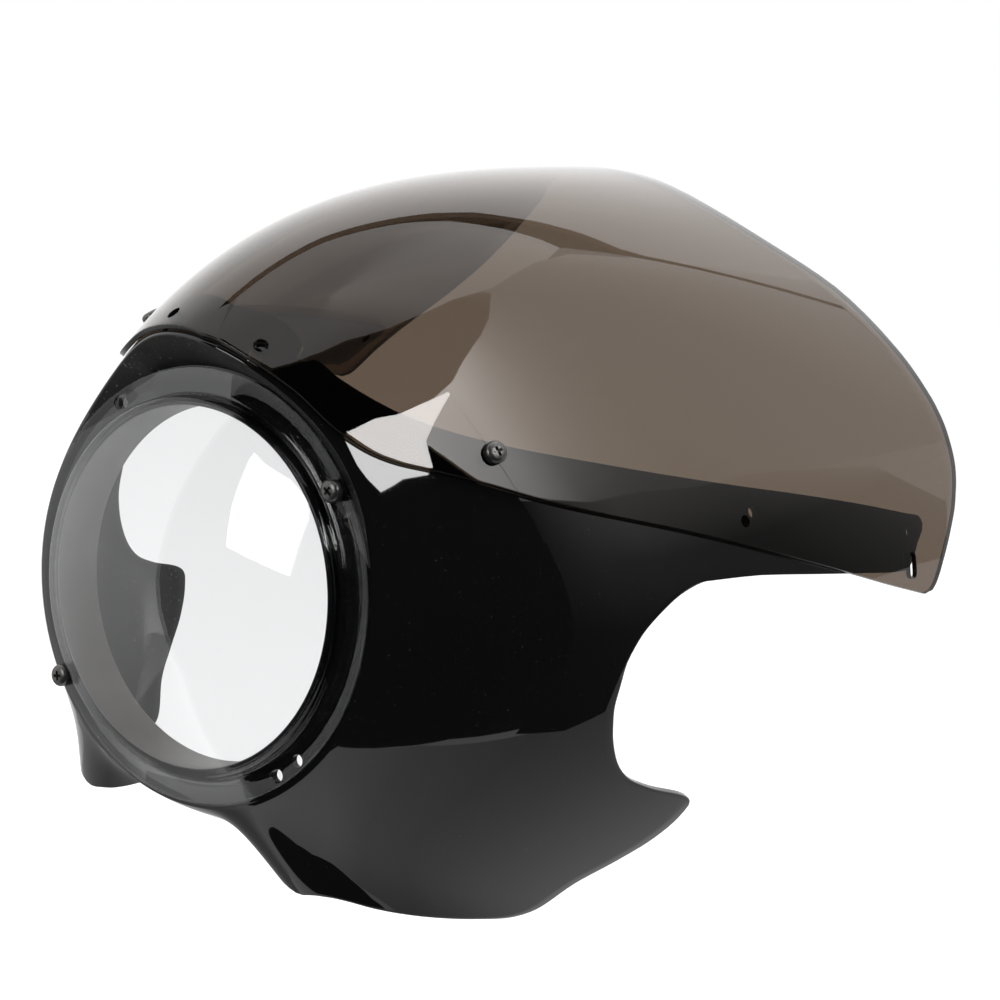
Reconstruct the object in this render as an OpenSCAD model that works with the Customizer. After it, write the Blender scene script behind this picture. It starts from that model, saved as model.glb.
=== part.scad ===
// Headlight cowl: a moulded shell round a clear lens, with a smoked screen bolted over its top.
// The lens axis is Y and the lens faces -Y. X is to the right seen from the front, and Z is up.
// Millimetres. Angles go round the lens axis: 0 is +X, 90 is straight up.

/* [Lens] */
// Thickness of the lens
lens_t = 2.5; // [2:0.5:5]
// How far the dome stands out of the flange
dome_h = 27; // [12:1:60]
// Height of the upright wall between the flange and the dome
dome_wall = 4; // [2:0.5:10]

/* [Shell] */
// Wall thickness of the shell
shell_t = 3; // [2:0.5:5]
// Inside diameter of the collar that the lamp goes through
opening_d = 157; // [120:1:170]
// Wall thickness of the collar
collar_t = 2; // [1.5:0.5:4]
// How far the collar stands forward of the lens seat
collar_front = 7.5; // [2:0.5:12]
// How far the collar runs back behind the lens seat
collar_back = 14; // [4:0.5:30]
// How far the brow over the lens leans forward
brow_forward = 31; // [0:1:50]
// How far the brow rises above the lens seat
brow_rise = 13; // [0:1:30]

/* [Screen] */
// Thickness of the smoked screen
screen_t = 2.5; // [2:0.5:5]
// Clear gap between the screen and the shell
screen_gap = 0.6; // [0.4:0.1:2]

/* [Fasteners] */
// Screw shank diameter
screw_d = 4.8; // [3:0.1:6]
// Diameter of the holes that screws go through
hole_d = 5.6; // [4:0.1:8]
// Diameter of the wider holes under the middle screws of the screen
wide_hole_d = 8; // [6:0.1:9]
// Screw head diameter
head_d = 10; // [7:0.1:14]
// Screw head height
head_h = 3.3; // [2:0.1:6]
// Washer thickness
washer_t = 1; // [0.5:0.1:3]
// Nut thickness
nut_t = 4; // [2:0.1:8]
// Nut width across its flats
nut_w = 8; // [6:0.1:13]
// How far a lens screw's head stands over the edge of the flange
head_over = 0.2; // [-2:0.1:0.4]

/* [Hidden] */
$fn = 48;

// Gap between two parts that are clamped together
seat_gap = 0.2;
seat_y = lens_t + seat_gap;
opening_r = opening_d / 2;
screw_r = screw_d / 2;
hole_r = hole_d / 2;
wide_hole_r = wide_hole_d / 2;
nut_gap = 0.1;

// Gap between the collar and the lens wall round it
collar_gap = 0.4;
collar_r = opening_r + collar_t;
dome_r = collar_r + collar_gap + lens_t;

// Fillet at the foot of the dome's wall. The screw heads stand on the flat outside it.
foot_r = 2;
lens_hole_r = dome_r + foot_r + head_d / 2 - head_over;
lens_r = lens_hole_r + head_d / 2 - head_over;
seat_r = lens_r + 0.5;

// Height above and below the lens axis, from 0 to 1
function up(a) = max(sin(a), 0);
function down(a) = max(-sin(a), 0);

// Where the swept skin starts, at the front
function start_r(a) = seat_r + 1.5 + brow_rise * pow(up(a), 3);
function start_y(a) = seat_y - brow_forward * pow(up(a), 6);

// How far the skin spreads outwards, and over what depth
function spread(a) = 104 - 19 * pow(up(a), 2) + 29 * pow(down(a), 2) - 9.5 * pow(sin(2 * a), 2);
function reach(a) = 123 - 34 * pow(up(a), 2) - 72 * pow(down(a), 2) + 14.5 * pow(sin(2 * a), 2);

// The skin is tucked in between the two lower cheeks, under the lamp, and fuller along each cheek
function fade(a, middle, width) = 1 / (1 + exp((asin(down(a)) - middle) / width));
function tuck(a) = 0.21 + 0.79 * fade(a, 66.5, 3);
function cheek(a, y) = 0.5 * (fade(a, 66.5, 3) - fade(a, 55.5, 2.5)) * (1 - exp(-(y - start_y(a)) / 20));

// Radius of the skin at an angle and a depth
function skin_r(a, y) = start_r(a)
    + spread(a) * (tuck(a) + cheek(a, y)) * (1 - exp(-(y - start_y(a)) / reach(a)));
function skin(a, y) = [skin_r(a, y) * cos(a), y, skin_r(a, y) * sin(a)];
function unit(v) = v / norm(v);
function skin_out(a, y) = unit(cross(skin(a, y + 0.1) - skin(a, y - 0.1),
    skin(a + 0.1, y) - skin(a - 0.1, y)));
function mix(p, q, t) = p + (q - p) * t;

// Right-hand edge of the shell from top to bottom: angle on the seat, angle at the edge, depth,
// and how late the skin's line turns towards that edge point
shell_half = [
    [90, 90, -10, 1],
    [84, 84, -7, 1],
    [78, 78.5, -3.5, 1],
    [74.8, 75.2, -2.9, 1],
    [73.5, 73.7, -3.1, 1],
    [72.6, 72.7, -7, 1],
    [71.2, 71.2, -6.8, 1],
    [70, 70.2, -1.8, 1],
    [65, 65, 4, 1],
    [59, 58.5, 14, 1],
    [53, 52, 28, 1],
    [47.5, 46.5, 46, 1],
    [42.5, 41.5, 69, 1],
    [38.5, 36.3, 105, 1],
    [35.5, 32.6, 140, 1],
    [33, 29.6, 178, 1],
    [31, 26.8, 224, 1],
    [29.5, 24.2, 270, 1],
    [28, 22.1, 306, 1],
    [26.8, 21.6, 315, 1],
    [25.6, 20.4, 317, 1.2],
    [24.2, 17.6, 309.5, 2],
    [22.8, 14.8, 302, 2.5],
    [22, 13.9, 297, 3],
    [20.8, 13.8, 290, 4],
    [19.4, 14.2, 262, 4],
    [18, 14.8, 228, 4],
    [16.8, 15.4, 196, 6],
    [13.6, 15.8, 168, 0.6],
    [11.6, 15.5, 151, 0.6],
    [9, 14.2, 138, 0.6],
    [6, 11.4, 125, 0.7],
    [2.5, 7, 113, 0.8],
    [-1.5, 2, 107.5, 1],
    [-5.5, -3.2, 107, 1],
    [-9.5, -8.2, 110.4, 1],
    [-13, -12, 115.8, 1],
    [-16, -15, 122.8, 1],
    [-18.5, -17.2, 132.5, 1],
    [-21, -18.6, 147, 1],
    [-23.5, -20.6, 176, 1],
    [-25, -21.8, 178.5, 1],
    [-27.5, -24.2, 177.2, 1],
    [-31, -28.4, 171, 1],
    [-35.5, -33.4, 158.5, 1],
    [-40, -39, 144, 1],
    [-45, -45.4, 134, 1],
    [-47, -47.5, 123.3, 1],
    [-48.7, -48.9, 107, 1],
    [-50.4, -50.5, 87.6, 1],
    [-52.2, -52.4, 66.8, 1],
    [-54, -53.9, 53.3, 1],
    [-55.6, -55.1, 44.7, 1],
    [-57.4, -56.8, 37.5, 1],
    [-59.6, -59.4, 32.6, 1],
    [-62, -62.2, 31.4, 1],
    [-64.4, -64.4, 30.6, 1],
    [-67, -67, 32.5, 1],
    [-70, -70, 35, 1],
    [-73.5, -73.5, 35.6, 1],
    [-76.5, -76.5, 32.7, 1],
    [-78.8, -78.8, 26.7, 1],
    [-81, -81, 18, 1],
    [-83.7, -83.7, 12.5, 1],
    [-87, -87, 10.8, 1],
    [-90, -90, 10.4, 1],
];
half_n = len(shell_half);
function other_side(p) = [180 - p[0], 180 - p[1], p[2], p[3]];
shell_edge = [for (i = [0 : 2 * half_n - 3])
    i < half_n ? shell_half[i] : other_side(shell_half[2 * half_n - 2 - i])];

// One line of the shell from the lamp opening to the edge, as [angle, radius, depth]
skin_rows = 9;
// The first point after the front fold stands clear of the fold's inside corner
function fold_clear(a) = shell_t * (0.8 + 1.1 * up(a)) * reach(a) / norm([spread(a) * tuck(a), reach(a)]);
function row_y(c, k) = k == 0 ? start_y(c[0])
    : mix(start_y(c[0]) + fold_clear(c[0]), c[2], pow((k - 1) / (skin_rows - 1), 1.25));
function row_turn(c, y) = pow((y - start_y(c[0])) / (c[2] - start_y(c[0])), c[3]);
function skin_row(c, k) = let (y = row_y(c, k), a = mix(c[0], c[1], row_turn(c, y)))
    [a, skin_r(a, y), y];
function shell_line(c) = concat(
    [[c[0], opening_r + 1, seat_y],
        // The flat ends earlier low down, where the skin turns back more sharply
        [c[0], seat_r - 0.6 * down(c[0]), seat_y],
        [c[0], start_r(c[0]), start_y(c[0])]],
    [for (k = [1 : skin_rows]) skin_row(c, k)]);

// The same line moved inwards by the wall thickness
function flat(p) = [p[1], p[2]];
function in_of(p, q) = let (d = unit(flat(q) - flat(p))) [-d[1], d[0]];
function moved_in(line, k, t) = let (
    n = len(line) - 1,
    m1 = in_of(line[max(k - 1, 0)], line[max(k, 1)]),
    m2 = in_of(line[min(k, n - 1)], line[min(k + 1, n)]),
    m = (m1 + m2) * t / (1 + m1 * m2))
    [line[k][0], line[k][1] + m[0], line[k][2] + m[1]];
function place(p) = [p[1] * cos(p[0]), p[2], p[1] * sin(p[0])];

// A closed skin between two grids of points: rows go round or across, with the ends joined
module wall(front, back, ring) {
    rows = len(front);
    cols = len(front[0]);
    last = ring ? rows - 1 : rows - 2;
    half = rows * cols;
    points = concat([for (r = front) for (p = r) p], [for (r = back) for (p = r) p]);
    function at(i, j) = (i % rows) * cols + j;
    // Each cell of the grid is cut along its shorter diagonal
    function cell(i, j) = norm(front[(i + 1) % rows][j + 1] - front[i][j]) < norm(front[i][j + 1] - front[(i + 1) % rows][j])
        ? [[at(i, j), at(i + 1, j), at(i + 1, j + 1)], [at(i, j), at(i + 1, j + 1), at(i, j + 1)]]
        : [[at(i, j), at(i + 1, j), at(i, j + 1)], [at(i + 1, j), at(i + 1, j + 1), at(i, j + 1)]];
    sheet = [for (i = [0 : last]) for (j = [0 : cols - 2]) for (f = cell(i, j)) f];
    under = [for (f = sheet) [f[2] + half, f[1] + half, f[0] + half]];
    sides = [for (i = [0 : last]) for (j = [0, cols - 1])
        for (f = [[at(i, j), at(i + 1, j), at(i + 1, j) + half], [at(i, j), at(i + 1, j) + half, at(i, j) + half]])
            j == 0 ? [f[2], f[1], f[0]] : f];
    ends = ring ? [] : [for (i = [0, rows - 1]) for (j = [0 : cols - 2])
        for (f = [[at(i, j), at(i, j + 1), at(i, j + 1) + half], [at(i, j), at(i, j + 1) + half, at(i, j) + half]])
            i == 0 ? f : [f[2], f[1], f[0]]];
    polyhedron(points, concat(sheet, under, sides, ends), convexity = 8);
}

// Put a thing on the skin, with its own +Z pointing straight out
module on_skin(a, y, lift) {
    n = skin_out(a, y);
    translate(skin(a, y) + n * lift)
        rotate([0, acos(n[2]), atan2(n[1], n[0])])
            children();
}
module both_sides() {
    children();
    mirror([1, 0, 0])
        children();
}

// Screw places on the skin, as [angle, depth]
front_slot = [77.4, -19.6];
front_hole = [78, -16.6];
mid_hole = [41.6, 55];
side_hole_shell = [25.1, 186];
side_hole_screen = [23.7, 176.5];
rear_hole_shell = [19.4, 303];
rear_slot_screen = [14.6, 298];
slot_w = 5.6;

module slot(length, width, depth) {
    for (s = [-1, 1])
        translate([s * (length - width) / 2, 0, -depth])
            cylinder(d = width, h = 2 * depth, $fn = 24);
    translate([-(length - width) / 2, -width / 2, -depth])
        cube([length - width, width, 2 * depth]);
}

module tube(inside, outside, height) {
    rotate_extrude($fn = 96)
        translate([inside, 0])
            square([outside - inside, height]);
}

lens_angles = [45, 135, 225, 315];
module lens_place(a, y) {
    rotate([0, -a, 0])
        translate([lens_hole_r, y, 0])
            rotate([90, 0, 0])
                children();
}

module shell() {
    lines = [for (c = shell_edge) shell_line(c)];
    outer = [for (l = lines) [for (p = l) place(p)]];
    inner = [for (l = lines) [for (k = [0 : len(l) - 1]) place(moved_in(l, k, shell_t))]];
    color("black")
        difference() {
            union() {
                wall(inner, outer, true);
                translate([0, seat_y + shell_t + collar_back, 0])
                    rotate([90, 0, 0])
                        tube(opening_r, collar_r, collar_back + shell_t + collar_front);
            }
            for (a = lens_angles)
                lens_place(a, 0)
                    cylinder(r = hole_r, h = 20, center = true, $fn = 24);
            for (a = [36.5, -36.5])
                lens_place(a, 0)
                    cylinder(r = hole_r, h = 20, center = true, $fn = 24);
            both_sides() {
                on_skin(front_slot[0], front_slot[1], 0)
                    slot(9, slot_w, 4);
                on_skin(mid_hole[0], mid_hole[1], 0)
                    cylinder(r = wide_hole_r, h = 12, center = true, $fn = 24);
                on_skin(side_hole_shell[0], side_hole_shell[1], 0)
                    cylinder(r = hole_r, h = 12, center = true, $fn = 24);
                on_skin(rear_hole_shell[0], rear_hole_shell[1], 0)
                    cylinder(r = hole_r, h = 12, center = true, $fn = 24);
            }
        }
}

// Right-hand half of the screen: angle and depth on its lower edge, then on its rear edge
screen_half = [
    [90, -26.6, 90, 268],
    [84.5, -25.4, 84, 269.5],
    [79.5, -23.4, 78.5, 274],
    [74.5, -20.2, 73.5, 282.5],
    [70, -16.4, 69, 294],
    [65.5, -12.2, 64.5, 309],
    [61, -8.4, 60, 324],
    [56.5, -4, 55, 335.5],
    [52, 2, 50, 345],
    [48, 8.8, 46, 351.5],
    [44.5, 17.5, 42, 356],
    [41.5, 28.5, 38.5, 359],
    [38.5, 40.5, 35.2, 360],
    [35.5, 53, 32.2, 359],
    [32.2, 68.5, 29.2, 357],
    [29, 88.5, 26.6, 353.5],
    [26.2, 112, 24.2, 349],
    [23.7, 137, 22, 344.5],
    [21.2, 164, 20, 339.5],
    [18.6, 194, 18.2, 335],
    [16, 227, 16.4, 330.5],
    [13.8, 256, 14.6, 326],
    [12, 281, 12.9, 322],
    [10.8, 300, 11.5, 318],
    [10.3, 308, 10.7, 314.5],
];
screen_n = len(screen_half);
screen_edge = [for (i = [0 : 2 * screen_n - 2])
    i < screen_n ? screen_half[screen_n - 1 - i] : let (c = screen_half[i - screen_n + 1])
        [180 - c[0], c[1], 180 - c[2], c[3]]];
screen_rows = 13;
function screen_point(c, t, lift) = let (
    a = mix(c[0], c[2], t),
    y = mix(c[1], c[3], pow(t, 1.5)))
    skin(a, y) + skin_out(a, y) * lift;

module screen() {
    inner = [for (c = screen_edge) [for (k = [0 : screen_rows])
        screen_point(c, k / screen_rows, screen_gap)]];
    outer = [for (c = screen_edge) [for (k = [0 : screen_rows])
        screen_point(c, k / screen_rows, screen_gap + screen_t)]];
    color("saddlebrown", 0.5)
        difference() {
            wall(outer, inner, false);
            both_sides() {
                on_skin(front_hole[0], front_hole[1], screen_gap)
                    cylinder(r = hole_r + 0.4, h = 12, center = true, $fn = 24);
                on_skin(mid_hole[0], mid_hole[1], screen_gap)
                    cylinder(r = wide_hole_r, h = 12, center = true, $fn = 24);
                on_skin(side_hole_screen[0], side_hole_screen[1], screen_gap)
                    cylinder(r = hole_r, h = 12, center = true, $fn = 24);
                on_skin(rear_slot_screen[0], rear_slot_screen[1], screen_gap)
                    slot(13, slot_w, 6);
            }
        }
}

// Section of the lens: a flat flange, a small fillet, an upright wall, a rounded shoulder and a dome.
// Each arc has one centre for both faces, so the lens is as thick everywhere.
shoulder_r = lens_t + 1.5;
shoulder_x = dome_r - shoulder_r;
dome_turn = 2 * atan((dome_h - dome_wall - shoulder_r) / shoulder_x);
dome_ball = shoulder_x / sin(dome_turn) + shoulder_r;
function arc(x, z, r, from, to, n) = [for (i = [0 : n]) let (w = from + (to - from) * i / n)
    [max(x + r * cos(w), 0), z + r * sin(w)]];
function lens_face(deep) = concat(
    arc(dome_r + foot_r, foot_r, foot_r + deep, 270, 180, 5),
    arc(shoulder_x, dome_wall, shoulder_r - deep, 0, 90 - dome_turn, 6),
    [for (p = arc(0, dome_h - dome_ball, dome_ball - deep, 90 - dome_turn, 90, 12)) p]);
function backwards(list) = [for (i = [len(list) - 1 : -1 : 0]) list[i]];
module lens() {
    color("white", 0.3)
        difference() {
            rotate([90, 0, 0])
                rotate_extrude($fn = 96)
                    polygon(concat([[lens_r, -lens_t], [lens_r, 0]], lens_face(0),
                        backwards(lens_face(lens_t))));
            for (a = lens_angles)
                lens_place(a, 0)
                    cylinder(r = hole_r, h = 20, center = true, $fn = 24);
        }
}

// Pan head screw standing on z = 0, with its shank going down
module screw(length) {
    difference() {
        union() {
            rotate_extrude($fn = 32)
                polygon([[0, 0], [head_d / 2, 0], [head_d / 2, head_h * 0.45], [head_d / 2 * 0.9, head_h * 0.75],
                    [head_d / 2 * 0.62, head_h * 0.95], [0, head_h]]);
            translate([0, 0, -length])
                cylinder(r = screw_r, h = length + 0.5, $fn = 24);
        }
        for (turn = [0, 90])
            rotate([0, 0, turn])
                translate([-2.5, -0.6, head_h - 1.8])
                    cube([5, 1.2, 3]);
    }
}
module washer() {
    difference() {
        cylinder(d = head_d, h = washer_t, $fn = 32);
        translate([0, 0, -1])
            cylinder(r = screw_r + 0.6, h = washer_t + 2, $fn = 24);
    }
}
module nut() {
    translate([0, 0, -nut_t])
        difference() {
            cylinder(d = nut_w / cos(30), h = nut_t, $fn = 6);
            translate([0, 0, -1])
                cylinder(r = screw_r + nut_gap, h = nut_t + 2, $fn = 24);
        }
}

// The near upper lens screw is tight and the far lower one stands a little proud
lens_screw_length = 14;
proud = 2;
module lens_screws() {
    color("dimgray") {
        lens_place(45, -washer_t)
            screw(lens_screw_length);
        lens_place(225, -washer_t - proud)
            screw(lens_screw_length);
    }
}
module lens_washers() {
    color("black")
        for (a = [45, 225])
            lens_place(a, 0)
                washer();
}
module lens_nuts() {
    color("silver")
        for (a = [45, 225])
            lens_place(a, seat_y + shell_t)
                nut();
}

// The screen has a tight screw in its near middle hole, and one half way out and leaning in the far one
screen_screw_length = 14;
loose_lift = 1.9;
loose_tilt = 18;
screen_out = screen_gap + screen_t;
module leaning_screw() {
    pivot = -(screen_out + shell_t) / 2;
    translate([0, 0, pivot])
        rotate([0, -loose_tilt, 0])
            translate([0, 0, washer_t + loose_lift - pivot])
                screw(screen_screw_length);
}
module screen_screws() {
    color("dimgray") {
        on_skin(mid_hole[0], mid_hole[1], screen_out + washer_t)
            screw(screen_screw_length);
        mirror([1, 0, 0])
            on_skin(mid_hole[0], mid_hole[1], screen_out)
                leaning_screw();
    }
}
module screen_washers() {
    color("black")
        both_sides()
            on_skin(mid_hole[0], mid_hole[1], screen_out)
                washer();
}
module screen_nut() {
    color("silver")
        on_skin(mid_hole[0], mid_hole[1], -shell_t - 0.3)
            nut();
}

shell();
screen();
lens();
lens_screws();
lens_washers();
lens_nuts();
screen_screws();
screen_washers();
screen_nut();
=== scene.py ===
"""A motorbike's headlight cowl: black moulded shell, smoked screen and clear domed lens."""

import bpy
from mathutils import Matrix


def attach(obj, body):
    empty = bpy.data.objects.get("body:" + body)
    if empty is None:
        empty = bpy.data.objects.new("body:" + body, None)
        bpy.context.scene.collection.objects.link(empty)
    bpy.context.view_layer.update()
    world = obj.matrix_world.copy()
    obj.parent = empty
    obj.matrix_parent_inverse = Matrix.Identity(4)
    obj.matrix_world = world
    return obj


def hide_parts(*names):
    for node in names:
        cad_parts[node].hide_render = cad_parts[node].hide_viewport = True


bl_info = {
    "name": "Headlight cowl",
    "version": (1, 0, 0),
    "blender": (4, 5, 0),
    "location": "3D View > Sidebar > Cowl",
    "description": "Builds a headlight cowl with its smoked screen, lens and fasteners",
    "category": "Add Mesh",
}

from math import acos, asin, atan2, ceil, cos, degrees, exp, hypot, pi, radians, sin

import bmesh
import bpy
from mathutils import Matrix, Vector

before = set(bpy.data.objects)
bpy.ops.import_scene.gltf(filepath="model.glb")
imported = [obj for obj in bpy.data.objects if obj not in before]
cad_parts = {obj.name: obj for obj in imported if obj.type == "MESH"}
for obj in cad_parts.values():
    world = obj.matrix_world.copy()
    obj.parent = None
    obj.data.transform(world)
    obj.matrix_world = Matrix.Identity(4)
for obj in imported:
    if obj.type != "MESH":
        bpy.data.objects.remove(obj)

MM = 0.001
BODY = "root"

# Edges that bend by more than these stay sharp: on the swept skins, on turned pieces and on threads
SKIN_SHARP = radians(50)
TURNED_SHARP = radians(32)
THREAD_SHARP = radians(38)

# Gaps between the lens and its seat, the collar and the lens wall, and the lens rim and the skin
SEAT_GAP = 0.2
COLLAR_GAP = 0.4
RIM_GAP = 0.5
# Fillet at the foot of the dome, and how far a lens screw's head stands over the flange's edge
FOOT_R = 2.0
HEAD_OVER = 0.2
# How far outside the rim the skin starts, and how much sooner the seat's flat ends low down
START_OUT = 1.5
FLAT_CUT = 0.6

# How far the skin spreads and over what depth: at the sides, and what the crown, the base and the
# corners between them add
SPREAD = (104, -19, 29, -9.5)
REACH = (123, -34, -72, 14.5)
# Edges of the tucked-in base and of the cheeks, in degrees below the lens axis, and their softness
BASE_EDGE = (66.5, 3)
CHEEK_EDGE = (55.5, 2.5)
BASE_TUCK = 0.21
CHEEK_FULL = 0.5
CHEEK_DEPTH = 20

LENS_ANGLES = (45, 135, 225, 315)
SPARE_SEAT_ANGLES = (36.5, -36.5)
# Screw places on the skin, as angle and depth
FRONT_SLOT = (77.4, -19.6)
FRONT_HOLE = (78, -16.6)
MID_HOLE = (41.6, 55)
SIDE_HOLE_SHELL = (25.1, 186)
SIDE_HOLE_SCREEN = (23.7, 176.5)
REAR_HOLE_SHELL = (19.4, 303)
REAR_SLOT_SCREEN = (14.6, 298)
SLOT_WIDTH = 5.6
FRONT_SLOT_LENGTH = 9
REAR_SLOT_LENGTH = 13
FRONT_HOLE_SPARE = 0.8
# Half lengths of the tools that cut the holes of the lens and seat, of the skin, and the front slots
SEAT_CUT = 10
SKIN_CUT = 6
FRONT_SLOT_CUT = 4

# Points along a line of the shell's skin, and across the screen
SKIN_ROWS = 26
SCREEN_ROWS = 34

# The far lower lens screw stands out of its hole, and so does the far middle one, which also leans
LENS_SCREW_OUT = 2
LOOSE_LIFT = 1.9
LOOSE_TILT = 18
# How far round the crosses of the heads are turned
LENS_CROSSES = (20, 65)
SCREEN_CROSSES = (30, 10)

# Right-hand edge of the shell from top to bottom: angle on the seat, angle at the edge, depth,
# and how late the skin's line turns towards that edge point
SHELL_EDGE = (
    (90, 90, -10, 1), (84, 84, -7, 1), (78, 78.5, -3.5, 1), (74.8, 75.2, -2.9, 1),
    (73.5, 73.7, -3.1, 1), (72.6, 72.7, -7, 1), (71.2, 71.2, -6.8, 1), (70, 70.2, -1.8, 1),
    (65, 65, 4, 1), (59, 58.5, 14, 1), (53, 52, 28, 1), (47.5, 46.5, 46, 1),
    (42.5, 41.5, 69, 1), (38.5, 36.3, 105, 1), (35.5, 32.6, 140, 1), (33, 29.6, 178, 1),
    (31, 26.8, 224, 1), (29.5, 24.2, 270, 1), (28, 22.1, 306, 1), (26.8, 21.6, 315, 1),
    (25.6, 20.4, 317, 1.2), (24.2, 17.6, 309.5, 2), (22.8, 14.8, 302, 2.5), (22, 13.9, 297, 3),
    (20.8, 13.8, 290, 4), (19.4, 14.2, 262, 4), (18, 14.8, 228, 4), (16.8, 15.4, 196, 6),
    (13.6, 15.8, 168, 0.6), (11.6, 15.5, 151, 0.6), (9, 14.2, 138, 0.6), (6, 11.4, 125, 0.7),
    (2.5, 7, 113, 0.8), (-1.5, 2, 107.5, 1), (-5.5, -3.2, 107, 1), (-9.5, -8.2, 110.4, 1),
    (-13, -12, 115.8, 1), (-16, -15, 122.8, 1), (-18.5, -17.2, 132.5, 1), (-21, -18.6, 147, 1),
    (-23.5, -20.6, 176, 1), (-25, -21.8, 178.5, 1), (-27.5, -24.2, 177.2, 1), (-31, -28.4, 171, 1),
    (-35.5, -33.4, 158.5, 1), (-40, -39, 144, 1), (-45, -45.4, 134, 1),
    (-47, -47.5, 123.3, 1), (-48.7, -48.9, 107, 1), (-50.4, -50.5, 87.6, 1), (-52.2, -52.4, 66.8, 1),
    (-54, -53.9, 53.3, 1), (-55.6, -55.1, 44.7, 1), (-57.4, -56.8, 37.5, 1), (-59.6, -59.4, 32.6, 1),
    (-62, -62.2, 31.4, 1), (-64.4, -64.4, 30.6, 1), (-67, -67, 32.5, 1), (-70, -70, 35, 1),
    (-73.5, -73.5, 35.6, 1), (-76.5, -76.5, 32.7, 1), (-78.8, -78.8, 26.7, 1), (-81, -81, 18, 1),
    (-83.7, -83.7, 12.5, 1), (-87, -87, 10.8, 1), (-90, -90, 10.4, 1),
)
# Right-hand half of the screen from the middle out: angle and depth on its lower edge, then on
# its rear edge
SCREEN_EDGE = (
    (90, -26.6, 90, 268), (84.5, -25.4, 84, 269.5), (79.5, -23.4, 78.5, 274),
    (74.5, -20.2, 73.5, 282.5), (70, -16.4, 69, 294), (65.5, -12.2, 64.5, 309),
    (61, -8.4, 60, 324), (56.5, -4, 55, 335.5), (52, 2, 50, 345), (48, 8.8, 46, 351.5),
    (44.5, 17.5, 42, 356), (41.5, 28.5, 38.5, 359), (38.5, 40.5, 35.2, 360),
    (35.5, 53, 32.2, 359), (32.2, 68.5, 29.2, 357), (29, 88.5, 26.6, 353.5),
    (26.2, 112, 24.2, 349), (23.7, 137, 22, 344.5), (21.2, 164, 20, 339.5),
    (18.6, 194, 18.2, 335), (16, 227, 16.4, 330.5), (13.8, 256, 14.6, 326),
    (12, 281, 12.9, 322), (10.8, 300, 11.5, 318), (10.3, 308, 10.7, 314.5),
)


class CowlSizes(bpy.types.PropertyGroup):
    """Sizes of the cowl in millimetres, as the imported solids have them."""

    opening_d: bpy.props.FloatProperty(
        name="Opening", description="Inside diameter of the lamp collar", default=157.0)
    collar_t: bpy.props.FloatProperty(
        name="Collar wall", description="Wall thickness of the collar", default=2.0)
    collar_front: bpy.props.FloatProperty(
        name="Collar front", description="How far the collar stands forward of the seat",
        default=7.5)
    collar_back: bpy.props.FloatProperty(
        name="Collar back", description="How far the collar runs back behind the seat", default=14.0)
    brow_forward: bpy.props.FloatProperty(
        name="Brow forward", description="How far the brow leans forward", default=31.0)
    brow_rise: bpy.props.FloatProperty(
        name="Brow rise", description="How far the brow rises above the seat", default=13.0)
    lens_t: bpy.props.FloatProperty(
        name="Lens wall", description="Thickness of the lens", default=2.5)
    dome_h: bpy.props.FloatProperty(
        name="Dome", description="How far the dome stands out of the flange", default=27.0)
    dome_wall: bpy.props.FloatProperty(
        name="Dome wall", description="Height of the upright wall of the dome", default=4.0)
    shell_t: bpy.props.FloatProperty(
        name="Shell wall", description="Wall thickness of the shell", default=3.0)
    screen_t: bpy.props.FloatProperty(
        name="Screen", description="Thickness of the smoked screen", default=2.5)
    screen_gap: bpy.props.FloatProperty(
        name="Screen gap", description="Clear gap between screen and shell", default=0.6)
    hole_d: bpy.props.FloatProperty(
        name="Holes", description="Diameter of the screw holes", default=5.6)
    wide_hole_d: bpy.props.FloatProperty(
        name="Wide holes", description="Diameter of the middle holes", default=8.0)
    head_d: bpy.props.FloatProperty(
        name="Heads", description="Diameter of the screw heads", default=10.0)
    head_h: bpy.props.FloatProperty(
        name="Head height", description="Height of the screw heads", default=3.3)
    screw_d: bpy.props.FloatProperty(
        name="Screws", description="Diameter of the screw shanks", default=4.8)
    screw_length: bpy.props.FloatProperty(
        name="Screw length", description="Length of the screws under the head", default=14.0)
    washer_t: bpy.props.FloatProperty(
        name="Washers", description="Thickness of the washers", default=1.0)


class CowlFinish(bpy.types.PropertyGroup):
    """Colours of the cowl's materials."""

    plastic: bpy.props.FloatVectorProperty(
        name="Shell black", description="Colour of the shell's plastic", subtype="COLOR",
        default=(0.005, 0.005, 0.0053))
    smoke: bpy.props.FloatVectorProperty(
        name="Smoke", description="What light through one face of the screen keeps",
        subtype="COLOR", default=(0.352, 0.302, 0.257))
    # Painted shade: this grey tint darkens what is seen through the dome, as shading on the backdrop
    # behind would; the lens itself is clear
    clear: bpy.props.FloatVectorProperty(
        name="Clear", description="What light through one face of the lens keeps",
        subtype="COLOR", default=(0.87, 0.872, 0.875))
    dark_steel: bpy.props.FloatVectorProperty(
        name="Dark steel", description="Colour of the blackened screws", subtype="COLOR",
        default=(0.13, 0.128, 0.125))
    zinc: bpy.props.FloatVectorProperty(
        name="Zinc", description="Colour of the plated nuts", subtype="COLOR",
        default=(0.62, 0.62, 0.6))
    dust: bpy.props.FloatVectorProperty(
        name="Dust", description="Colour of the dust on the black plastic", subtype="COLOR",
        default=(0.30, 0.29, 0.28))


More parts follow.
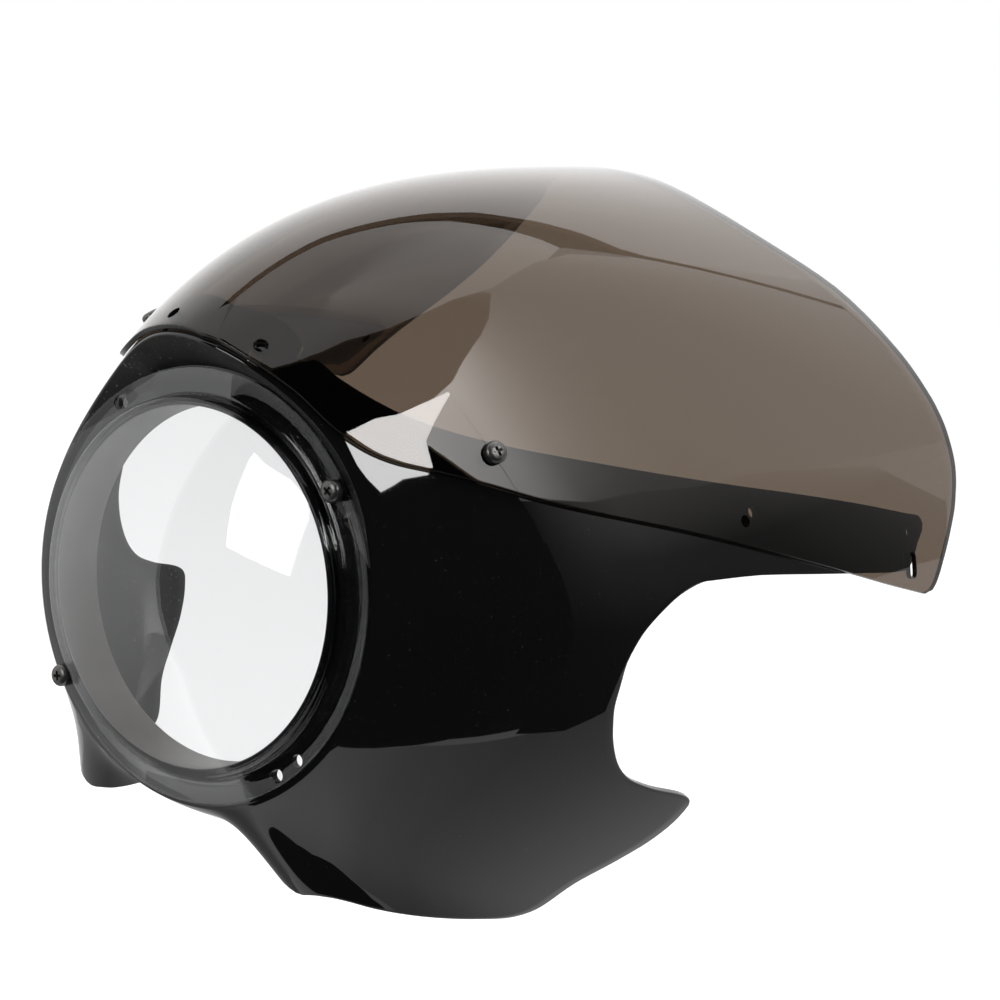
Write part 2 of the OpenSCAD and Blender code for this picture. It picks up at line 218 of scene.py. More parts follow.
class CowlStage(bpy.types.PropertyGroup):
    """Camera, floor and lamps."""

    place: bpy.props.FloatVectorProperty(
        name="Camera place", description="Where the camera stands", subtype="XYZ", unit="LENGTH",
        precision=4, default=(0.7253, -0.8444, 0.3205))
    azimuth: bpy.props.FloatProperty(
        name="Camera azimuth", description="How far round from the front the camera stands",
        subtype="ANGLE", default=radians(34.44))
    elevation: bpy.props.FloatProperty(
        name="Camera elevation", description="How far above the horizon the camera stands",
        subtype="ANGLE", default=radians(12.89))
    roll: bpy.props.FloatProperty(
        name="Camera roll", description="How far the camera leans", subtype="ANGLE",
        default=radians(12.72))
    lens_mm: bpy.props.FloatProperty(
        name="Camera lens", description="Focal length on a 36 mm sensor", unit="CAMERA",
        default=95.715)
    floor_z: bpy.props.FloatProperty(
        name="Floor", description="Height of the floor", default=-0.42, unit="LENGTH")
    world_level: bpy.props.FloatProperty(
        name="Room light", description="Strength of the even light all round", default=0.55)
    top_lamp: bpy.props.FloatProperty(
        name="Top lamp", description="Strength of the lamp overhead", unit="POWER", default=26.0)


def sizes():
    return bpy.context.scene.cowl_sizes


def finish_colours():
    return bpy.context.scene.cowl_finish


# The swept skin that the shell and the screen share


def up(a):
    """Height above the lens axis, from 0 to 1, at an angle round it."""
    return max(sin(radians(a)), 0)


def down(a):
    """Height below the lens axis, from 0 to 1, at an angle round it."""
    return max(-sin(radians(a)), 0)


def seat_depth():
    return sizes().lens_t + SEAT_GAP


def seat_radius():
    return lens_radius() + RIM_GAP


def collar_radius():
    return sizes().opening_d / 2 + sizes().collar_t


def dome_radius():
    return collar_radius() + COLLAR_GAP + sizes().lens_t


def lens_hole_radius():
    return dome_radius() + FOOT_R + sizes().head_d / 2 - HEAD_OVER


def lens_radius():
    return lens_hole_radius() + sizes().head_d / 2 - HEAD_OVER


def skin_start(a):
    """Depth at which the skin starts at an angle: the brow starts furthest forward."""
    return seat_depth() - sizes().brow_forward * up(a) ** 6


def round_about(a, shares):
    """Value at an angle, from that of the sides and what the crown, the base and the corners add."""
    sides, crown, base, corners = shares
    return sides + crown * up(a) ** 2 + base * down(a) ** 2 + corners * sin(radians(2 * a)) ** 2


def fade(a, middle, width):
    """1 above an edge below the lens axis and 0 under it, with a soft change between."""
    return 1 / (1 + exp((degrees(asin(min(down(a), 1))) - middle) / width))


def skin_radius(a, y):
    """Radius of the skin at an angle and a depth."""
    front_r = seat_radius() + START_OUT + sizes().brow_rise * up(a) ** 3
    depth = y - skin_start(a)
    tuck = BASE_TUCK + (1 - BASE_TUCK) * fade(a, *BASE_EDGE)
    between = fade(a, *BASE_EDGE) - fade(a, *CHEEK_EDGE)
    cheek = CHEEK_FULL * between * (1 - exp(-max(depth, 0) / CHEEK_DEPTH))
    rise = 1 - exp(-depth / round_about(a, REACH))
    return front_r + round_about(a, SPREAD) * (tuck + cheek) * rise


def turned(a, r, y):
    """Point at an angle round the lens axis, a radius and a depth."""
    return Vector((r * cos(radians(a)), y, r * sin(radians(a))))


def skin(a, y):
    """Point of the skin at an angle and a depth."""
    return turned(a, skin_radius(a, y), y)


def skin_out(a, y, near=0.1):
    """Direction straight out of the skin."""
    along = skin(a, y + near) - skin(a, y - near)
    across = skin(a + near, y) - skin(a - near, y)
    return along.cross(across).normalized()


def mix(p, q, t):
    return p + (q - p) * t


def eased(rows, place, step):
    """Smooth run of rows through the given ones: each value follows a curve that never overshoots."""
    shortest = 0.5
    at = [0.0]
    for p, q in zip(rows, rows[1:]):
        at.append(at[-1] + max((place(q) - place(p)).length, shortest))
    last = len(rows) - 1

    def slopes(k):
        out = []
        for i in range(last + 1):
            if i in (0, last):
                j = 0 if i == 0 else last - 1
                out.append((rows[j + 1][k] - rows[j][k]) / (at[j + 1] - at[j]))
                continue
            h0, h1 = at[i] - at[i - 1], at[i + 1] - at[i]
            d0, d1 = (rows[i][k] - rows[i - 1][k]) / h0, (rows[i + 1][k] - rows[i][k]) / h1
            w0, w1 = 2 * h1 + h0, h1 + 2 * h0
            out.append(0 if d0 * d1 <= 0 else (w0 + w1) / (w0 / d0 + w1 / d1))
        return out

    slope = [slopes(k) for k in range(len(rows[0]))]
    result = []
    for i in range(last):
        h = at[i + 1] - at[i]
        parts = max(2, ceil(h / step))
        for part in range(parts):
            t = part / parts
            curve = (2 * t ** 3 - 3 * t ** 2 + 1, t ** 3 - 2 * t ** 2 + t,
                     3 * t ** 2 - 2 * t ** 3, t ** 3 - t ** 2)
            result.append(tuple(
                curve[0] * rows[i][k] + curve[1] * h * slope[k][i]
                + curve[2] * rows[i + 1][k] + curve[3] * h * slope[k][i + 1]
                for k in range(len(rows[0]))))
    return result + [rows[last]]


def rounded(loop, radii, parts=3, longest=0.45):
    """Closed loop of points with the named corners turned into small curves."""
    n = len(loop)
    out = []
    for i, corner in enumerate(loop):
        if i not in radii:
            out.append(corner)
            continue
        before, after = loop[i - 1] - corner, loop[(i + 1) % n] - corner
        p = corner + before.normalized() * min(radii[i], before.length * longest)
        q = corner + after.normalized() * min(radii[i], after.length * longest)
        for k in range(parts + 1):
            t = k / parts
            out.append(p * (1 - t) ** 2 + corner * 2 * t * (1 - t) + q * t * t)
    return out


# Mesh helpers


def smoothed(mesh, sharp):
    """Shades a mesh smooth, apart from its sharp edges."""
    mesh.polygons.foreach_set("use_smooth", [True] * len(mesh.polygons))
    mesh.set_sharp_from_angle(angle=sharp)


def piece_from(name, verts, faces, sharp=TURNED_SHARP):
    """New object with smooth faces, from points in millimetres."""
    mesh = bpy.data.meshes.new(name)
    mesh.from_pydata([v * MM for v in verts], [], faces)
    bm = bmesh.new()
    bm.from_mesh(mesh)
    bmesh.ops.remove_doubles(bm, verts=bm.verts, dist=1e-6)
    bmesh.ops.recalc_face_normals(bm, faces=bm.faces)
    bm.to_mesh(mesh)
    bm.free()
    smoothed(mesh, sharp)
    piece = bpy.data.objects.new(name, mesh)
    bpy.context.scene.collection.objects.link(piece)
    return piece


def skin_of_loops(loops, closed):
    """Points and faces of a sheet whose cross-sections are closed loops, joined one to the next."""
    cols = len(loops[0])
    rows = len(loops)
    verts = [p for loop in loops for p in loop]
    faces = []
    for i in range(rows if closed else rows - 1):
        for j in range(cols):
            a, b = i * cols, ((i + 1) % rows) * cols
            k = (j + 1) % cols
            faces.append((a + j, a + k, b + k, b + j))
    if not closed:
        faces.append(tuple(range(cols)))
        faces.append(tuple((rows - 1) * cols + j for j in range(cols)))
    return verts, faces


def revolved(profile, parts):
    """Points and faces of a closed profile of (radius, height) turned round Z."""
    loops = [[Vector((r * cos(t), r * sin(t), z)) for r, z in profile]
             for t in (2 * pi * i / parts for i in range(parts))]
    return skin_of_loops(loops, True)


def rod(radius, half, parts=32):
    """Points and faces of a round rod along Z."""
    return revolved([(0, -half), (radius, -half), (radius, half), (0, half)], parts)


def slot_block(length, width, half, parts=12):
    """Points and faces of a straight slot with round ends, along X."""
    rim = []
    for side, from_angle in ((1, -90), (-1, 90)):
        for k in range(parts + 1):
            t = radians(from_angle + 180 * k / parts)
            rim.append((side * (length - width) / 2 + width / 2 * cos(t), width / 2 * sin(t)))
    n = len(rim)
    verts = [Vector((x, y, z)) for z in (-half, half) for x, y in rim]
    faces = [(i, (i + 1) % n, n + (i + 1) % n, n + i) for i in range(n)]
    return verts, faces + [tuple(range(n)), tuple(range(n, 2 * n))]


def placed(shape, matrix):
    """The shape moved by a matrix."""
    verts, faces = shape
    return [matrix @ v for v in verts], faces


def joined(shapes):
    """Several shapes as one."""
    verts, faces = [], []
    for more, rest in shapes:
        faces += [tuple(len(verts) + i for i in f) for f in rest]
        verts += more
    return verts, faces


def on_skin(a, y, lift):
    """Matrix that stands a thing on the skin with its Z pointing straight out."""
    n = skin_out(a, y)
    turn = Matrix.Rotation(atan2(n.y, n.x), 4, "Z") @ Matrix.Rotation(acos(n.z), 4, "Y")
    return Matrix.Translation(skin(a, y) + n * lift) @ turn


def on_lens(a, y):
    """Matrix that stands a thing on the lens flange with its Z pointing forwards."""
    return (Matrix.Rotation(radians(-a), 4, "Y") @ Matrix.Translation((lens_hole_radius(), y, 0))
            @ Matrix.Rotation(radians(90), 4, "X"))


MIRROR = Matrix.Scale(-1, 4, (1, 0, 0))


def both_sides(shape, matrix):
    """The shape at a place on the right and at its mirror image on the left."""
    return [placed(shape, matrix), placed(shape, MIRROR @ matrix)]


def cut(piece, shapes, sharp=TURNED_SHARP):
    """Takes the shapes out of the piece."""
    tool = piece_from(piece.name + "_cutter", *joined(shapes))
    mod = piece.modifiers.new("holes", "BOOLEAN")
    mod.object = tool
    mod.operation = "DIFFERENCE"
    mod.solver = "EXACT"
    mesh = bpy.data.meshes.new_from_object(
        piece.evaluated_get(bpy.context.evaluated_depsgraph_get()))
    piece.modifiers.clear()
    old = piece.data
    piece.data = mesh
    mesh.name = piece.name
    bpy.data.meshes.remove(old)
    bpy.data.objects.remove(tool)
    smoothed(mesh, sharp)
    if not mesh.polygons:
        raise RuntimeError(piece.name + " came out of its cut empty")


def settle(piece, node, slot, *finishes):
    """Attaches a piece to its body, hides the imported part of the node it stands for and gives the
    piece its finishes; the slot is not used.
    """
    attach(piece, BODY)
    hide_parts(node)
    piece.data.materials.clear()
    for own in finishes:
        piece.data.materials.append(own)


# Shader helpers


class Value:
    """A shader socket that plain arithmetic works on."""

    def __init__(self, shader, socket):
        self.shader, self.socket = shader, socket

    def _math(self, operation, *values):
        return self.shader.node("ShaderNodeMath", {"operation": operation}, *values)

    def __add__(self, other):
        return self._math("ADD", self, other)

    def __mul__(self, other):
        return self._math("MULTIPLY", self, other)

    def __pow__(self, other):
        return self._math("POWER", self, other)

    def over(self, low, high):
        """0 below low, 1 above high, and an even rise between them."""
        return self.shader.node(
            "ShaderNodeMapRange", {"clamp": True, "interpolation_type": "SMOOTHSTEP"}, self, low, high)

    def at_most(self, other):
        return self._math("MINIMUM", self, other)

    def at_least(self, other):
        return self._math("MAXIMUM", self, other)

    __radd__ = __add__
    __rmul__ = __mul__


class Shader:
    """The nodes of a material or of the world."""

    def __init__(self, owner, output="ShaderNodeOutputMaterial"):
        self.owner = owner
        self.owner.use_nodes = True
        self.tree = owner.node_tree
        self.tree.nodes.clear()
        self.output = self.tree.nodes.new(output)

    def node(self, kind, settings=None, *values, out=None, **named):
        """Adds a node: its settings first, then the values or links of its sockets."""
        node = self.tree.nodes.new(kind)
        for key, value in (settings or {}).items():
            setattr(node, key, value)
        sockets = [s for s in node.inputs if s.enabled]
        pairs = list(zip(sockets, values))
        pairs += [(next(s for s in sockets if s.name.replace(" ", "_") == key), value)
                  for key, value in named.items()]
        for socket, value in pairs:
            if isinstance(value, Value):
                self.tree.links.new(value.socket, socket)
            else:
                socket.default_value = value
        return Value(self, next(s for s in node.outputs if s.enabled and out in (None, s.name)))

    def noise(self, scale, detail, rough, stretch=None):
        """Cloudy noise that keeps to the object, drawn out where it is given a stretch."""
        place = self.node("ShaderNodeTexCoord", out="Object")
        if stretch:
            place = self.node("ShaderNodeMapping", None, place, Scale=stretch)
        return self.node("ShaderNodeTexNoise", None, place, Scale=scale, Detail=detail, Roughness=rough)

    def blend(self, amount, low, high):
        return self.node("ShaderNodeMix", {"data_type": "RGBA"}, amount, low, high)

    def bump(self, height, strength, distance):
        return self.node("ShaderNodeBump", None, Strength=strength, Distance=distance, Height=height)

    def principled(self, **named):
        return self.node("ShaderNodeBsdfPrincipled", None, **named)

    def seen(self):
        """1 for what the camera, mirrors and clear sheets see, and 0 for the light that falls."""
        camera, glossy, clear = [
            self.node("ShaderNodeLightPath", out="Is %s Ray" % ray)
            for ray in ("Camera", "Glossy", "Transmission")]
        return camera.at_least(glossy).at_least(clear)

    def done(self, surface):
        self.tree.links.new(surface.socket, self.output.inputs["Surface"])
        return self.owner


def new_finish(name):
    return Shader(bpy.data.materials.new(name))


def colour(c):
    return (*c, 1.0)


def grey(level):
    return (level, level, level, 1.0)


def black_plastic():
    """Glossy black moulded plastic with a fine haze, faint wipe marks and specks of dust."""
    f = finish_colours()
    s = new_finish("gloss_black_plastic")
    haze = s.noise(9, 4, 0.6).over(0.45, 0.75)
    wipe = s.noise(60, 5, 0.65, stretch=(1, 0.12, 1)).over(0.52, 0.8)
    specks = s.noise(900, 1, 0.5).over(0.77, 0.79)
    dust = (specks * 0.14 + haze * 0.004).at_most(1.0)
    base = s.blend(dust, colour(f.plastic), colour(f.dust))
    rough = (0.02 + haze * 0.02 + wipe * 0.025 + specks * 0.2).at_most(0.9)
    ripple = s.bump(s.noise(14, 2, 0.5), 0.06, 0.0006)
    return s.done(s.principled(Base_Color=base, Roughness=rough, IOR=1.5, Normal=ripple))


def inner_plastic():
    """The shell's inner face: the same black, left duller by the mould, with more dust."""
    f = finish_colours()
    s = new_finish("inner_black_plastic")
    cloud = s.noise(30, 5, 0.7).over(0.35, 0.8)
    specks = s.noise(700, 1, 0.5).over(0.70, 0.75)
    base = s.blend((cloud * 0.08 + specks * 0.6).at_most(1.0), colour(f.plastic), colour(f.dust))
    return s.done(s.principled(
        Base_Color=base, Roughness=0.38 + cloud * 0.12, IOR=1.35,
        Normal=s.bump(s.noise(260, 3, 0.6), 0.15, 0.0003)))


def collar_satin():
    """The collar's bore, a satin face painted pale grey as painted reflection; its plastic is the
    shell's black.
    """
    s = new_finish("collar_satin")
    cloud = s.noise(45, 4, 0.6)
    fine = s.noise(600, 2, 0.5)
    return s.done(s.principled(
        # Painted reflection: the pale grey, varied by the cloud, stands in for light mirrored by the
        # black bore
        Base_Color=s.blend(cloud, grey(0.36), grey(0.52)),
        Roughness=0.34 + fine * 0.12, Normal=s.bump(fine, 0.1, 0.0002)))


def smoked_edge():
    """The cut edge of the smoked sheet, where the tint is so deep that it looks black."""
    s = new_finish("smoked_edge")
    saw = s.noise(300, 3, 0.6)
    return s.done(s.principled(
        Base_Color=s.blend(saw, (0.006, 0.005, 0.004, 1), (0.016, 0.013, 0.011, 1)),
        Roughness=0.12 + saw * 0.15, IOR=1.49))


def clear_sheet(name, tint, rough, marks):
    """A see-through moulding: each face keeps a share of the light and mirrors the rest."""
    s = new_finish(name)
    haze = s.noise(8, 4, 0.6).over(0.4, 0.8)
    scuffs = s.noise(marks, 3, 0.6, stretch=(1, 0.15, 1)).over(0.7, 0.78)
    head_on = 0.04
    mirrored = head_on + (1 - head_on) * s.node("ShaderNodeLayerWeight", out="Facing") ** 5
    through = s.node("ShaderNodeBsdfTransparent", None, Color=colour(tint))
    gloss = s.principled(
        Base_Color=grey(0.95), Metallic=1.0, Roughness=rough + haze * 0.02 + scuffs * 0.12)
    return s.done(s.node("ShaderNodeMixShader", None, mirrored, through, gloss))


def steel(name, tint, rough):
    """Steel with a fine grain, worn brighter in places."""
    s = new_finish(name)
    grain = s.noise(700, 3, 0.6, stretch=(1, 1, 6))
    worn = s.noise(160, 3, 0.55).over(0.55, 0.8)
    bare = [min(1.0, c * 2.2 + 0.05) for c in tint]
    base = s.blend(worn * 0.35, colour(tint), colour(bare))
    return s.done(s.principled(
        Base_Color=base, Metallic=0.9, Roughness=rough + grain * 0.12,
        Normal=s.bump(grain, 0.12, 0.0002)))


def nylon():
    """Matt black moulded nylon with a fine grain."""
    s = new_finish("washer_nylon")
    grain = s.noise(900, 2, 0.5)
    base = s.blend(grain * 0.5, (0.012, 0.012, 0.012, 1), (0.03, 0.03, 0.031, 1))
    return s.done(s.principled(
        Base_Color=base, Roughness=0.45 + grain * 0.2, Normal=s.bump(grain, 0.2, 0.0002)))


def finish(name, make, *more):
    """The material of that name, made once."""
    return bpy.data.materials.get(name) or make(*more)


# Pieces


def shell_line(row):
    """Front of the shell at one place round the opening: angle, radius and depth of each point."""
    ring, edge, depth, late = row
    start = skin_start(ring)
    line = [(ring, collar_radius(), seat_depth()),
            (ring, seat_radius() - FLAT_CUT * down(ring), seat_depth()),
            (ring, skin_radius(ring, start), start)]
    # The first point after the front fold stands clear of the fold's inside corner
    fold_clear = sizes().shell_t * (0.72 + 0.99 * up(ring))
    for k in range(SKIN_ROWS):
        y = mix(start + fold_clear, depth, (k / (SKIN_ROWS - 1)) ** 1.2)
        a = mix(ring, edge, ((y - start) / (depth - start)) ** late)
        line.append((a, skin_radius(a, y), y))
    return line


def moved_in(line, thick):
    """Points of a line moved inwards by the wall thickness."""
    inside = []
    for i, (a, r, y) in enumerate(line):
        p = line[max(i - 1, 0)]
        q = line[min(i + 1, len(line) - 1)]
        before = Vector((p[2] - y, r - p[1])) if i else Vector((0, 1))
        after = Vector((y - q[2], q[1] - r)) if i < len(line) - 1 else before
        before, after = before.normalized(), after.normalized()
        step = (before + after) * thick / (1 + before.dot(after))
        inside.append(turned(a, r + step[0], y + step[1]))
    return inside


def shell_loop(row):
    """Cross-section of the shell at one place round the opening, from the seat round the skin."""
    z = sizes()
    ring, bore, collar = row[0], z.opening_d / 2, collar_radius()
    line = shell_line(row)
    behind = seat_depth() + z.shell_t + z.collar_back
    ahead = seat_depth() - z.collar_front
    loop = [turned(*p) for p in line] + moved_in(line, z.shell_t)[::-1]
    loop += [turned(ring, collar, behind), turned(ring, bore, behind),
             turned(ring, bore, ahead), turned(ring, collar, ahead)]
    edge, back = len(line) - 1, 2 * len(line)
    return rounded(loop, {
        0: 0.8, 2: 1.6, edge: 1.0, edge + 1: 1.0, back - 1: 1.2,
        back: 0.7, back + 1: 0.7, back + 2: 0.8, back + 3: 0.8})


def mirrored_ring(half):
    """The whole ring of rows from its right-hand half, which runs from the top to the bottom."""
    left = [(-180 - a, -180 - b, *rest) for a, b, *rest in half[-2:0:-1]]
    return list(half) + left


class COWL_OT_shell(bpy.types.Operator):
    """Build the black moulded shell"""

    bl_idname = "cowl.shell"
    bl_label = "Shell"

    def execute(self, context):
        z = sizes()
        half = eased(SHELL_EDGE, lambda row: skin(row[1], row[2]), 4.0)
        loops = [shell_loop(row) for row in mirrored_ring(half)]
        piece = piece_from("cowl_shell", *skin_of_loops(loops, True), SKIN_SHARP)
        seat_hole, hole = rod(z.hole_d / 2, SEAT_CUT), rod(z.hole_d / 2, SKIN_CUT)
        shapes = [placed(seat_hole, on_lens(a, z.shell_t)) for a in (*LENS_ANGLES, *SPARE_SEAT_ANGLES)]
        shapes += both_sides(
            slot_block(FRONT_SLOT_LENGTH, SLOT_WIDTH, FRONT_SLOT_CUT), on_skin(*FRONT_SLOT, 0))
        shapes += both_sides(rod(z.wide_hole_d / 2, SKIN_CUT), on_skin(*MID_HOLE, 0))
        shapes += both_sides(hole, on_skin(*SIDE_HOLE_SHELL, 0))
        shapes += both_sides(hole, on_skin(*REAR_HOLE_SHELL, 0))
        cut(piece, shapes, SKIN_SHARP)
        settle(piece, "shell", "black_plastic",
               finish("gloss_black_plastic", black_plastic),
               finish("inner_black_plastic", inner_plastic),
               # The collar's bore takes a painted reflection in place of the black
               finish("collar_satin", collar_satin))
        for face in piece.data.polygons:
            face.material_index = 2 if self.is_bore(face) else int(self.is_inside(face))
        return {"FINISHED"}

    def is_bore(self, face, spare=0.3):
        """Whether a face is on the collar's bore."""
        p = face.center / MM
        return hypot(p.x, p.z) < sizes().opening_d / 2 + spare

    def is_inside(self, face, deep=1.2):
        """Whether a face looks inwards from well under the skin and isn't on the seat."""
        p = face.center / MM
        r, a = hypot(p.x, p.z), degrees(atan2(p.z, p.x))
        if p.y < seat_depth() + 1 and r < seat_radius():
            return False
        under = skin_radius(a, max(p.y, skin_start(a))) - r
        return face.normal.dot(turned(a, 1, 0)) < -0.05 and under > deep


class COWL_OT_screen(bpy.types.Operator):
    """Build the smoked screen"""

    bl_idname = "cowl.screen"
    bl_label = "Screen"

    def execute(self, context):
        z = sizes()
        half = eased(SCREEN_EDGE, lambda row: skin(row[0], row[1]), 5.0)
        rows = [(180 - a, b, 180 - c, d) for a, b, c, d in half[::-1]] + half[1:]
        loops = []
        last = SCREEN_ROWS
        for low_a, low_y, rear_a, rear_y in rows:
            inner, outer = [], []
            for k in range(last + 1):
                t = k / last
                a, y = mix(low_a, rear_a, t), mix(low_y, rear_y, t ** 1.5)
                at, out = skin(a, y), skin_out(a, y)
                inner.append(at + out * z.screen_gap)
                outer.append(at + out * (z.screen_gap + z.screen_t))
            corners = (0, last, last + 1, 2 * last + 1)
            loops.append(rounded(inner + outer[::-1], dict.fromkeys(corners, 0.6)))
        piece = piece_from("smoked_screen", *skin_of_loops(loops, False), SKIN_SHARP)
        shapes = []
        for shape, spot in (
                (rod((z.hole_d + FRONT_HOLE_SPARE) / 2, SKIN_CUT), FRONT_HOLE),
                (rod(z.wide_hole_d / 2, SKIN_CUT), MID_HOLE),
                (rod(z.hole_d / 2, SKIN_CUT), SIDE_HOLE_SCREEN),
                (slot_block(REAR_SLOT_LENGTH, SLOT_WIDTH, SKIN_CUT), REAR_SLOT_SCREEN)):
            shapes += both_sides(shape, on_skin(*spot, z.screen_gap))
        cut(piece, shapes, SKIN_SHARP)
        settle(piece, "screen", "smoked_acrylic",
               finish("smoked_sheet", clear_sheet, "smoked_sheet", finish_colours().smoke, 0.012, 90),
               finish("smoked_edge", smoked_edge))
        for face in piece.data.polygons:
            p = face.center / MM
            out = skin_out(degrees(atan2(p.z, p.x)), p.y)
            is_edge = abs(face.normal.dot(out)) < 0.8
            face.material_index = int(is_edge)
        return {"FINISHED"}


class COWL_OT_lens(bpy.types.Operator):
    """Build the clear domed lens"""

    bl_idname = "cowl.lens"
    bl_label = "Lens"

    def execute(self, context):
        z = sizes()
        t, wall, r = z.lens_t, z.dome_wall, lens_radius()
        # The shoulder's outside radius, and the ball that the dome is cut from
        shoulder = t + 1.5
        middle = dome_radius() - shoulder
        turn = 2 * degrees(atan2(z.dome_h - wall - shoulder, middle))
        ball = middle / sin(radians(turn)) + shoulder

        def arc(x, h, radius, start, end, parts):
            angles = [radians(mix(start, end, i / parts)) for i in range(parts + 1)]
            return [Vector((max(x + radius * cos(w), 0), h + radius * sin(w), 0)) for w in angles]

        def face(deep):
            return (arc(dome_radius() + FOOT_R, FOOT_R, FOOT_R + deep, 270, 180, 8)
                    + arc(middle, wall, shoulder - deep, 0, 90 - turn, 10)
                    + arc(0, z.dome_h - ball, ball - deep, 90 - turn, 90, 36)[1:])

        loop = [Vector((r, -t, 0)), Vector((r, 0, 0))] + face(0) + face(t)[::-1]
        profile = [(p.x, p.y) for p in rounded(loop, {0: 0.5, 1: 0.7})]
        forwards = Matrix.Rotation(radians(90), 4, "X")
        piece = piece_from("clear_lens", *placed(revolved(profile, 256), forwards))
        hole = rod(z.hole_d / 2, SEAT_CUT)
        cut(piece, [placed(hole, on_lens(a, 0)) for a in LENS_ANGLES])
        # The lens's tint is painted shade over what is seen through it
        settle(piece, "lens", "clear_acrylic", finish(
            "clear_moulding", clear_sheet, "clear_moulding", finish_colours().clear, 0.008, 120))
        return {"FINISHED"}


def screw_head():
    """Points and faces of a pan head that stands on its underside."""
    z = sizes()
    head_r, side = z.head_d / 2, 0.3
    profile = [(0, 0), (head_r, 0), (head_r, z.head_h * side)]
    for w in (radians(a) for a in (8, 18, 30, 42, 54, 66, 76, 84)):
        profile.append((head_r * cos(w) ** 0.55, z.head_h * (side + (1 - side) * sin(w))))
    return revolved(profile + [(0, z.head_h)], 48)


def screw_thread():
    """Points and faces of the threaded shank under a head, with a blunt point."""
    length, shank = sizes().screw_length, sizes().screw_d / 2
    pitch, groove_depth, plain, inside_head = 0.8, 0.32, 0.6, 0.3
    point_length, point_r = 0.7, 0.82
    around, rows_per_turn = 24, 5
    rows = []
    for i in range(int((length + inside_head) / pitch * rows_per_turn) + 1):
        h = inside_head - i * pitch / rows_per_turn
        point = min(max((length + h) / point_length, 0), 1)
        row = []
        for k in range(around):
            w = 2 * pi * k / around
            phase = (h / pitch - k / around) % 1
            groove = groove_depth * (1 - abs(2 * phase - 1)) if h < -plain else 0
            r = (shank - groove) * mix(point_r, 1, point)
            row.append(Vector((r * cos(w), r * sin(w), h)))
        rows.append(row)
    return skin_of_loops(rows, False)


def cross_cutter():
    """Two tapered blades that make a screw's cross recess."""
    h = sizes().head_h
    shapes = []
    for turn in (0, 90):
        verts = []
        for height, length, width in ((h - 2.1, 0.9, 0.45), (h + 0.6, 2.7, 0.72)):
            verts += [Vector((x, y, height)) for x, y in (
                (-length, -width), (length, -width), (length, width), (-length, width))]
        faces = [(0, 1, 2, 3), (4, 5, 6, 7), (0, 1, 5, 4), (1, 2, 6, 5), (2, 3, 7, 6), (3, 0, 4, 7)]
        shapes.append(placed((verts, faces), Matrix.Rotation(radians(turn), 4, "Z")))
    return shapes


def screw_piece(name, crosses, matrices):
    """One object with a screw at each matrix, its cross turned as told."""
    one = piece_from("screw_head", *screw_head())
    for blade in cross_cutter():
        cut(one, [blade])
    head = [v.co / MM for v in one.data.vertices], [tuple(p.vertices) for p in one.data.polygons]
    bpy.data.objects.remove(one)
    thread = screw_thread()
    shapes = []
    for turn, matrix in zip(crosses, matrices):
        shapes += [placed(head, matrix @ Matrix.Rotation(radians(turn), 4, "Z")), placed(thread, matrix)]
    return piece_from(name, *joined(shapes), THREAD_SHARP)


class COWL_OT_screws(bpy.types.Operator):
    """Build the screws of the lens and of the screen"""

    bl_idname = "cowl.screws"
    bl_label = "Screws"

    def execute(self, context):
        z = sizes()
        steel_black = finish(
            "blackened_steel", steel, "blackened_steel", finish_colours().dark_steel, 0.28)
        lens = screw_piece("lens_screw_pair", LENS_CROSSES, [
            on_lens(45, -z.washer_t), on_lens(225, -z.washer_t - LENS_SCREW_OUT)])
        settle(lens, "lens_screws", "black_steel", steel_black)
        out = z.screen_gap + z.screen_t
        pivot = -(out + z.shell_t) / 2
        lean = (Matrix.Translation((0, 0, pivot)) @ Matrix.Rotation(radians(-LOOSE_TILT), 4, "Y")
                @ Matrix.Translation((0, 0, z.washer_t + LOOSE_LIFT - pivot)))
        screen = screw_piece("screen_screw_pair", SCREEN_CROSSES, [
            on_skin(*MID_HOLE, out + z.washer_t), MIRROR @ on_skin(*MID_HOLE, out) @ lean])
        settle(screen, "screen_screws", "black_steel", steel_black)
        return {"FINISHED"}


class COWL_OT_washers_and_nuts(bpy.types.Operator):
    """Finish the washers and the nuts"""

    bl_idname = "cowl.washers_and_nuts"
    bl_label = "Washers and nuts"

    def execute(self, context):
        black = finish("washer_nylon", nylon)
        zinc = finish("zinc_plate", steel, "zinc_plate", finish_colours().zinc, 0.3)
        for name, own in (("lens_washers", black), ("screen_washers", black),
                          ("lens_nuts", zinc), ("screen_nut", zinc)):
            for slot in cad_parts[name].material_slots:
                slot.material = own
        return {"FINISHED"}


# Stage

# The floor's half side, its colour, and the glow that makes it white where it is seen
FLOOR_HALF = 60
FLOOR_WHITE = 0.62
FLOOR_GLOW = 0.66
# Middle of the round room, and rows of faces in a card
ROOM_MIDDLE = Vector((0, 0.1, 0))
CARD_ROWS = 8
